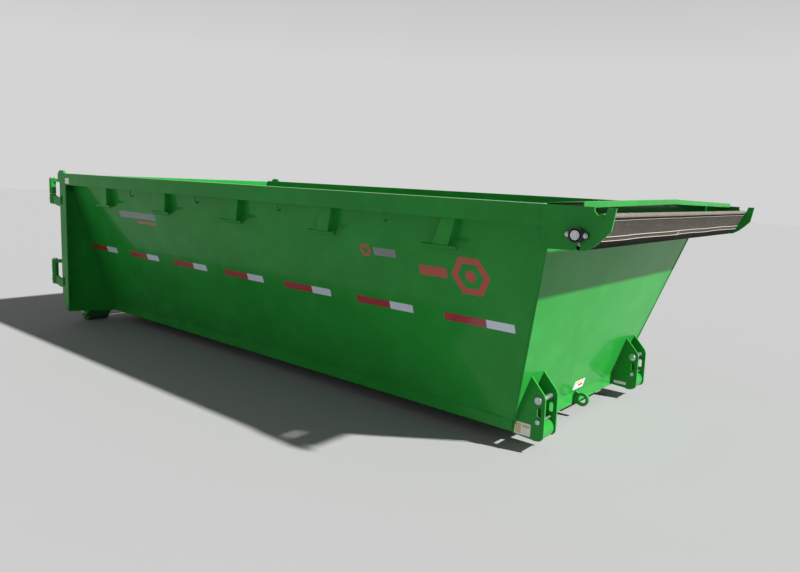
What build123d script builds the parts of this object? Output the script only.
from build123d import *
import math
import os

os.makedirs("parts", exist_ok=True)

# Roll-off dump container, millimetres. While it is built, X points forward with 0 at the foot
# of the front wall, Y points left with 0 on the centreline, and Z is 0 at the side's lower edge.
# place() moves everything to the final origin: the middle of the outline, on the ground.

# Tub
sheet = 6                       # side and front wall sheet
floor_top = 65
half_floor = 778                # half width at the foot of the side walls
sill_inner = 728                # inner face of the bottom rails
rail_low = 1208
rail_top = 1308
half_rail = 1252                # half width over the top rails
rail_width = 100
rail_front = 363
tube_wall = 6
post_y = 1240                   # inner face of the rear posts
wall_top_y = 1168.6             # outer face of the side wall under the top rail
front_rake = math.radians(15.52)
rear_face = -4522               # rear face of the corner panels
front_end = 680                 # tip of the tarp brackets
ground = -95
beyond = 1300                   # past the widest side, for cutting tools

# Nose: paired plates, pins and rollers at the front corners
nose_plate = 12
nose_inner = 632                # outer face of the inner plate
nose_toe = 36                   # radius of the plates' lower front corner
pin_x, pin_z, pin_r, pin_head_r = 151, 219, 16, 22
low_pin_x, low_pin_z, low_pin_r, low_head_r = 157, 96, 8, 14
roller_x, roller_z, roller_r = 134, 30, 54
axle_r = 15
slot_x, slot_low, slot_high, slot_width = 158, 121, 179, 26
sill_face, sill_low, sill_top = 21, -6, 70      # upright face across the foot of the front wall
eye_x, eye_z, eye_r, eye_hole_r = 72, 30, 44, 26
half_eye = 12

# Cover over the tarp roll, gabled from both sides up to a ridge
cover_back, cover_front = 345, 520
cover_sheet = 4
half_cover = 1240
cover_rise = 20                 # ridge above the ends
cover_fall = 12                 # front edge above the back edge
cover_lip = 28

# Rear rollers
rear_roller_x, rear_roller_z, rear_roller_r = -4605, -20, 75
rear_roller_y = (805, 1005)
rear_axle_r = 18

# Underframe
long_rail_y = (440, 500)
cross_pitch = 400
cross_count = 11
cross_width = 50

# Tarp gear
bracket_plate = 10
roller_axis = (515, 1182)       # X, Z of the tarp roller
shaft_r = 19
tube_r = 30
roll_r = 66
half_roll = 1226
bar_axis = (617, 1269)          # X, Z of the parked pull bar
bar_r = 13
notch_depth = 18
bearing_depth = 26
bearing_r = 34
bearing_bolt = 42               # bolt centres from the shaft's centre

# Rear door
door_gap = 5
door_sheet = 5
door_depth = 85
half_door = 1190
door_low, door_high = 70, 1300
hinge_x, hinge_y = -4690, -1240
hinge_joints = (1115, 365)      # height of the split between fixed and moving knuckle
knuckle_r = 28
hinge_pin_r = 15
fit_gap = 0.08                  # radial running clearance

# Latch on the door's free edge
latch_x, latch_y, latch_r = -4650, 1130, 14
latch_hooks = (1150, 785, 420)

stub_first, stub_pitch, stub_count = -215, -893, 5
hook_first = -640
tie_bar_r = 12


def slope(z):
    """X of the front wall's outer face at height z."""
    return z * math.tan(front_rake)


def wall_y(z):
    """Half width over the side walls' outer faces at height z."""
    return half_floor + (wall_top_y - half_floor) * (z - floor_top) / (rail_low - floor_top)


def box(x, y, z):
    size = [high - low for low, high in (x, y, z)]
    middle = [(low + high) / 2 for low, high in (x, y, z)]
    return Pos(*middle) * Box(*size)


def side_plate(points, y):
    """Outline in X and Z, from y[0] to y[1]."""
    edge = Polyline(*[(px, y[0], pz) for px, pz in points], close=True)
    return extrude(make_face(edge), amount=y[1] - y[0], dir=(0, 1, 0))


def end_plate(points, x):
    """Outline in Y and Z, from x[0] to x[1]."""
    edge = Polyline(*[(x[0], py, pz) for py, pz in points], close=True)
    return extrude(make_face(edge), amount=x[1] - x[0], dir=(1, 0, 0))


def flat_plate(points, z):
    """Outline in X and Y, from z[0] to z[1]."""
    edge = Polyline(*[(px, py, z[0]) for px, py in points], close=True)
    return extrude(make_face(edge), amount=z[1] - z[0], dir=(0, 0, 1))


def rod_y(x, z, r, y):
    return Pos(x, (y[0] + y[1]) / 2, z) * Rot(90, 0, 0) * Cylinder(r, y[1] - y[0])


def rod_z(x, y, r, z):
    return Pos(x, y, (z[0] + z[1]) / 2) * Cylinder(r, z[1] - z[0])


def other_side(shape):
    return mirror(shape, about=Plane.XZ)


def both(shape):
    return group(shape, other_side(shape))


def group(*shapes):
    """Separate solids kept in one node."""
    return Compound([solid for shape in shapes for solid in shape.solids()])


def tub_parts():
    front_cut = side_plate(
        [(rear_face + sheet, floor_top), (slope(floor_top), floor_top), (slope(rail_low), rail_low),
         (rear_face + sheet, rail_low)], (-beyond, beyond))
    section = [(-half_floor, floor_top), (-wall_top_y, rail_low), (-wall_top_y + sheet, rail_low),
               (-half_floor + sheet, floor_top)]
    wall = end_plate(section, (rear_face, 400)) & front_cut
    inner = [(-sill_inner, 0), (-sill_inner, floor_top), (-half_floor + sheet, floor_top),
             (-wall_top_y + sheet, rail_low), (wall_top_y - sheet, rail_low),
             (half_floor - sheet, floor_top), (sill_inner, floor_top), (sill_inner, 0)]
    slab = side_plate([(0, 0), (slope(rail_low), rail_low), (slope(rail_low) - sheet, rail_low),
                       (-sheet, 0)], (-beyond, beyond))
    front = slab & end_plate(inner, (-50, 400))
    floor = box((rear_face, slope(floor_top - sheet) - sheet), (-sill_inner, sill_inner),
                (floor_top - sheet, floor_top))
    sill_outer = box((rear_face + sheet, 0), (-half_floor, -sill_inner), (0, floor_top))
    sill_wall = 5
    sill = sill_outer - box((rear_face, -60), (-half_floor + sill_wall, -sill_inner - sill_wall),
                            (sill_wall, floor_top - sill_wall))
    return {
        "floor_plate": floor,
        "side_wall_right": wall,
        "side_wall_left": other_side(wall),
        "front_wall": front,
        "bottom_rails": both(sill),
    }


def rail_parts():
    inner_y = half_rail - rail_width
    hole = 20
    outer = box((rear_face, rail_front), (-half_rail, -inner_y), (rail_low, rail_top))
    hollow = box((rear_face + tube_wall, rail_front - tube_wall),
                 (-half_rail + tube_wall, -inner_y - tube_wall), (rail_low + tube_wall, rail_top - tube_wall))
    drain = box((rear_face, rear_face + tube_wall), (-half_rail + hole, -inner_y - hole),
                (rail_low + hole, rail_top - hole))
    rail = outer - hollow - drain
    header_back = rail_front - rail_width
    header = box((header_back, rail_front), (-inner_y, inner_y), (rail_low, rail_top))
    header -= box((header_back + tube_wall, rail_front - tube_wall), (-inner_y, inner_y),
                  (rail_low + tube_wall, rail_top - tube_wall))
    stub_row = group(*[rail_stub(stub_first + n * stub_pitch) for n in range(stub_count)])
    hook_row = group(*[rope_hook(hook_first + n * stub_pitch) for n in range(stub_count - 1)])
    return {
        "top_rail_right": rail,
        "top_rail_left": other_side(rail),
        "front_header": header + tarp_cover(),
        "rail_stubs_right": stub_row,
        "rail_stubs_left": other_side(stub_row),
        "rope_hooks": both(hook_row),
    }


def tarp_cover():
    """Folded sheet over the tarp roll, with a lip in front and an upright web on the header behind."""
    step = 8
    back_top = rail_top + step
    front_top = back_top + cover_fall
    t = cover_sheet
    profile = [(cover_back, rail_top), (cover_back, back_top), (cover_front, front_top),
               (cover_front + t, front_top), (cover_front + t, front_top - cover_lip),
               (cover_front, front_top - cover_lip),
               (cover_front, front_top - t), (cover_back + t, back_top - t), (cover_back + t, rail_top)]
    edge = Polyline(*[(x, -half_cover, z) for x, z in profile], close=True)
    pitch = math.atan2(cover_rise, half_cover)
    half = extrude(make_face(edge), amount=half_cover / math.cos(pitch),
                   dir=(0, math.cos(pitch), math.sin(pitch)))
    web_edge = [(-half_cover, rail_top), (half_cover, rail_top), (half_cover, rail_top + t),
                (0, rail_top + t + cover_rise), (-half_cover, rail_top + t)]
    web = end_plate(web_edge, (cover_back, cover_back + t))
    return half + other_side(half) + web


def rail_stub(x):
    """Raked gusset between the top rail and the side wall, with a tie bar through its foot."""
    low = 1046
    outline = [(x + 40, rail_low), (x - 45, rail_low), (x - 130, low), (x - 25, low)]
    blank = side_plate(outline, (-1216, -1100))
    section = end_plate([(-1216, rail_low), (-wall_y(rail_low), rail_low), (-wall_y(low), low),
                         (-1180, low)], (x - 200, x + 100))
    bar = Pos(x - 78, -1176, 1052) * Rot(0, 90, 0) * Cylinder(tie_bar_r, 225)
    return (blank & section) + bar


def rope_hook(x):
    """Small J shaped rope hook under the rail."""
    stem = rod_z(x, -1236, 5, (1172, rail_low))
    ring = Pos(x, -1222, 1172) * Rot(0, 90, 0) * Torus(14, 5)
    lower = box((x - 8, x + 8), (-1245, -1200), (1150, 1172))
    return stem + (ring & lower)


def rear_parts():
    panel = end_plate([(-half_floor + sheet, -12), (-half_door, 28), (-post_y, 190), (-post_y, rail_low),
                       (-wall_top_y + sheet, rail_low), (-half_floor + sheet, floor_top)],
                      (rear_face, rear_face + sheet))
    plain_post = side_plate([(-4412, rail_low), (-4412, 46), (-4438, 46), (rear_face, 190),
                             (rear_face, rail_low)], (-half_rail, -post_y))
    post = plain_post
    for joint in hinge_joints:
        post -= box((-4512, -4472), (-half_rail - 1, 1 - post_y), (joint - 84, joint - 8))
    sill = box((rear_face, rear_face + 100), (-sill_inner, sill_inner), (0, floor_top - sheet))
    sill -= box((rear_face + tube_wall, rear_face + 100 - tube_wall),
                (-sill_inner + tube_wall, sill_inner - tube_wall), (tube_wall, floor_top - sheet - tube_wall))
    lug = side_plate([(-4428, rail_top), (-4452, 1334), (rear_face, 1334), (-4556, 1300), (-4556, 1236),
                      (rear_face, 1236), (rear_face, rail_top)], (-half_rail, -1232))
    lug = fillet(lug.edges().filter_by(Axis.Y).group_by(Axis.Z)[-1], 20)
    return {
        "corner_panels": both(panel),
        "rear_posts": group(post, other_side(plain_post)),
        "rear_sill": sill,
        "corner_lugs": both(lug),
    }


def underframe_parts():
    low = ground + 2
    rail = side_plate([(-4500, 0), (-4500, low), (-260, low), (-110, low + 60), (-110, 0)],
                      (-long_rail_y[1], -long_rail_y[0]))
    rail -= side_plate([(-4501, -6), (-4501, low + 6), (-262, low + 6), (-120, low + 63), (-120, -6)],
                       (-long_rail_y[1] + 6, -long_rail_y[0] - 6))
    members = []
    for n in range(cross_count):
        x = -4100 + n * cross_pitch
        outer = box((x, x + cross_width), (-sill_inner, sill_inner), (0, floor_top - sheet))
        channel = box((x + 5, x + cross_width), (-sill_inner, sill_inner), (5, floor_top - sheet - 5))
        members.append(outer - channel)
    y = rear_roller_y
    plate = [(rear_face, 60), (rear_face, -8), (-4580, -62), (-4630, -62), (-4648, -20), (-4648, 30),
             (-4610, 60)]
    cheeks = side_plate(plate, (-y[1] - 17, -y[1] - 5)) + side_plate(plate, (-y[0] + 5, -y[0] + 17))
    axle = rod_y(rear_roller_x, rear_roller_z, rear_axle_r, (-y[1] - 5, -y[0] + 5))
    roller = rod_y(rear_roller_x, rear_roller_z, rear_roller_r, (-y[1], -y[0]))
    roller -= rod_y(rear_roller_x, rear_roller_z, rear_axle_r + fit_gap, (-y[1] - 1, -y[0] + 1))
    return {
        "long_rails": both(rail),
        "cross_members": group(*members),
        "rear_roller_brackets": both(cheeks + axle),
        "rear_roller_right": roller,
        "rear_roller_left": other_side(roller),
    }


def nose_parts():
    outline = [(slope(0), 0), (21, -8), (140, -15), (196, -12), (191, 232), (181, 256), (slope(348), 348)]
    blank = side_plate(outline, (-half_floor, -half_floor + nose_plate))
    corners = [edge for edge in blank.edges().filter_by(Axis.Y) if edge.center().X > 170]
    corners.sort(key=lambda edge: edge.center().Z)
    blank = fillet(corners[1:], 12)
    toe = [edge for edge in blank.edges().filter_by(Axis.Y) if edge.center().X > 170]
    blank = fillet(min(toe, key=lambda edge: edge.center().Z), nose_toe)
    blank -= rod_y(pin_x, pin_z, pin_r + fit_gap, (-half_floor - 1, -700))
    blank -= rod_y(low_pin_x, low_pin_z, low_pin_r + fit_gap, (-half_floor - 1, -700))
    slot = box((slot_x - slot_width / 2, slot_x + slot_width / 2), (-half_floor - 1, -700),
               (slot_low + slot_width / 2, slot_high - slot_width / 2))
    for z in (slot_low + slot_width / 2, slot_high - slot_width / 2):
        slot += rod_y(slot_x, z, slot_width / 2, (-half_floor - 1, -700))
    blank -= slot
    inner = Pos(0, half_floor - nose_inner, 0) * blank
    inside = -nose_inner + nose_plate
    pin = rod_y(pin_x, pin_z, pin_r, (-half_floor, inside + 8))
    pin += rod_y(pin_x, pin_z, pin_head_r, (-half_floor - 8, -half_floor))
    low_pin = rod_y(low_pin_x, low_pin_z, low_pin_r, (-half_floor, inside + 8))
    low_pin += rod_y(low_pin_x, low_pin_z, low_head_r, (-half_floor - 8, -half_floor))
    axle = rod_y(roller_x, roller_z, axle_r, (-half_floor + nose_plate, -nose_inner))
    roller = rod_y(roller_x, roller_z, roller_r, (-half_floor + nose_plate + 5, -nose_inner - 5))
    roller -= rod_y(roller_x, roller_z, axle_r + fit_gap, (-half_floor, -nose_inner))
    plates = group(blank, inner)
    beam_edge = [(0, sill_low), (sill_face, sill_low), (sill_face, sill_top), (slope(sill_top), sill_top), (0, 0)]
    beam = side_plate(beam_edge, (-nose_inner + nose_plate, -45))
    beam -= side_plate([(4, -1), (16, -1), (16, 43)], (-610, -55))
    web = side_plate([(slope(6), 6), (20, -4), (50, -8), (50, 68), (slope(78), 78)], (-half_eye, half_eye))
    eye = rod_y(eye_x, eye_z, eye_r, (-half_eye, half_eye))
    hook = web + eye - rod_y(eye_x, eye_z, eye_hole_r, (-half_eye, half_eye))
    return {
        "nose_plates_right": plates,
        "nose_plates_left": other_side(plates),
        "nose_pins": both(group(pin, low_pin, axle)),
        "nose_roller_right": roller,
        "nose_roller_left": other_side(roller),
        "front_cross_tube": both(beam),
        "pull_hook": hook,
    }


def tarp_parts():
    face = half_rail + bracket_plate
    x, z = roller_axis
    bx, bz = bar_axis
    outline = [(336, 1106), (556, 1115), (595, 1136), (633, 1172), (665, 1207), (front_end, rail_top),
               (642, rail_top), (bx + bar_r, bz), (bx - bar_r, bz), (583, rail_top - notch_depth),
               (583, rail_top), (336, rail_top)]
    plate = side_plate(outline, (-face, -half_rail))
    plate -= rod_y(bx, bz, bar_r, (-face, -half_rail))
    plate -= rod_y(x, z, shaft_r + 5, (-face, -half_rail))
    plate -= box((x - 6, x + 16), (-face, -half_rail), (1100, z - 50))
    bearing = rod_y(x, z, bearing_r, (-face - bearing_depth, -face))
    reach = bearing_bolt + 10
    bearing += side_plate([(x - reach, z - 11), (x - reach, z + 11), (x - 28, z + 26), (x + 28, z + 26),
                           (x + reach, z + 11), (x + reach, z - 11), (x + 28, z - 26), (x - 28, z - 26)],
                          (-face - 14, -face))
    bearing -= rod_y(x, z, shaft_r + fit_gap, (-face - bearing_depth, -face))
    shaft = rod_y(x, z, shaft_r, (-face - bearing_depth - 8, face + bearing_depth + 8))
    shaft += rod_y(x, z, tube_r, (-half_rail + 12, half_rail - 12))
    roll = rod_y(x, z, roll_r, (-half_roll, half_roll)) - rod_y(x, z, tube_r, (-half_roll, half_roll))
    bar = rod_y(bx, bz, bar_r, (-face - 4, face + 4))
    return {
        "tarp_bracket_right": plate,
        "tarp_bracket_left": other_side(plate),
        "tarp_bearings": both(bearing),
        "tarp_roller": shaft,
        "tarp_roll": roll,
        "tarp_pull_bar": bar,
        "tarp_flap": tarp_flap(),
    }


def tarp_flap():
    """Free end of the mesh, from beside the roll up to the sleeve around the pull bar."""
    x, z = roller_axis
    bx, bz = bar_axis
    run = math.hypot(bx - x, bz - z)
    ux, uz = (bx - x) / run, (bz - z) / run
    lean = math.asin((roll_r + 6 - bar_r) / run)
    nx = uz * math.cos(lean) + ux * math.sin(lean)
    nz = -ux * math.cos(lean) + uz * math.sin(lean)
    thick = 4
    low = (x + (roll_r + 6) * nx, z + (roll_r + 6) * nz)
    high = (bx + bar_r * nx, bz + bar_r * nz)
    sheet_points = [low, high, (high[0] + thick * nx, high[1] + thick * nz),
                    (low[0] + thick * nx, low[1] + thick * nz)]
    flap = side_plate(sheet_points, (-half_roll, half_roll))
    sleeve = rod_y(bx, bz, bar_r + thick, (-half_roll, half_roll))
    return flap + sleeve - rod_y(bx, bz, bar_r, (-half_roll, half_roll))


def door_parts():
    front = rear_face - door_gap
    back = front - door_depth
    outline = [(-1120, door_low), (1120, door_low), (half_door, 215), (half_door, door_high),
               (-half_door, door_high), (-half_door, 215)]
    skin = end_plate(outline, (front - door_sheet, front))
    outer, hollow = [], []
    wall = 5
    bars = [((-half_door, -half_door + 70), (215, door_high)),
            ((half_door - 70, half_door), (215, door_high)),
            ((-1120, 1120), (door_low, door_low + 70)),
            ((-half_door, half_door), (door_high - 70, door_high)),
            ((-half_door, half_door), (215, 285)), ((-half_door, half_door), (720, 780)),
            ((-430, -360), (door_low, door_high)), ((360, 430), (door_low, door_high))]
    for y, z in bars:
        outer.append(box((back, front - door_sheet), y, z))
        hollow.append(box((back + wall, front - door_sheet), (y[0] + wall, y[1] - wall),
                          (z[0] + wall, z[1] - wall)))
    frame = outer[0]
    for bar in outer[1:]:
        frame += bar
    frame += end_plate([(-1120, door_low), (-1050, door_low), (-1120, 215), (-half_door, 215)],
                       (back, front - door_sheet))
    frame += end_plate([(1120, door_low), (1050, door_low), (1120, 215), (half_door, 215)],
                       (back, front - door_sheet))
    for bar in hollow:
        frame -= bar
    straps, brackets, pins = [], [], []
    for joint in hinge_joints:
        top = joint + 140
        knuckle = rod_z(hinge_x, hinge_y, knuckle_r, (joint + 3, top))
        arm = flat_plate([(back, -half_door), (back, -900), (back - 20, -900), (back - 20, -1130),
                          (hinge_x - 20, hinge_y + 20), (hinge_x + 20, hinge_y - 20)], (top - 30, top))
        bore = rod_z(hinge_x, hinge_y, hinge_pin_r + fit_gap, (joint, top + 1))
        straps.append(knuckle + arm - bore)
        fixed = rod_z(hinge_x, hinge_y, knuckle_r, (joint - 85, joint))
        fixed += side_plate([(hinge_x, joint - 5), (hinge_x + 30, joint - 5), (rear_face, joint - 40),
                             (rear_face, joint - 105), (-4560, joint - 105), (hinge_x, joint - 80)],
                            (hinge_y - 12, hinge_y + 8))
        fixed -= rod_z(hinge_x, hinge_y, hinge_pin_r, (joint - 90, joint + 1))
        brackets.append(fixed)
        pin = rod_z(hinge_x, hinge_y, hinge_pin_r, (joint - 95, top + 6))
        pins.append(pin + rod_z(hinge_x, hinge_y, 22, (top + 1, top + 9)))
    guides = []
    for z in (1010, 640, 290):
        block = box((latch_x - 22, back), (latch_y - 26, latch_y + 26), (z, z + 40))
        guides.append(block - rod_z(latch_x, latch_y, latch_r + fit_gap, (z - 1, z + 41)))
    rod = rod_z(latch_x, latch_y, latch_r, (230, 1250))
    keepers = []
    for z in latch_hooks:
        rod += box((latch_x - 8, latch_x + 8), (latch_y, 1236), (z, z + 30))
        rod += box((latch_x - 8, latch_x + 8), (1212, 1236), (z - 55, z + 30))
        side = box((-4692, -4430), (half_rail, half_rail + 10), (z - 122, z - 62))
        lip = box((-4692, -4680), (1205, half_rail), (z - 122, z - 62))
        keepers.append(side + lip)
    rod += box((latch_x - 8, latch_x + 8), (latch_y - 150, latch_y), (900, 920))
    return {
        "rear_door": skin,
        "door_frame": frame,
        "hinge_straps": group(*straps),
        "hinge_brackets": group(*brackets),
        "hinge_pins": group(*pins),
        "latch_guides": group(*guides),
        "latch_rod": rod,
        "latch_keepers": group(*keepers),
    }


rear_end = hinge_x - knuckle_r
place = Pos(-(front_end + rear_end) / 2, 0, -ground)

nodes = {}
for parts in (tub_parts(), rail_parts(), rear_parts(), underframe_parts(), nose_parts(), tarp_parts(),
              door_parts()):
    nodes.update(parts)

for name, shape in nodes.items():
    export_step(place * shape, f"parts/{name}.step")
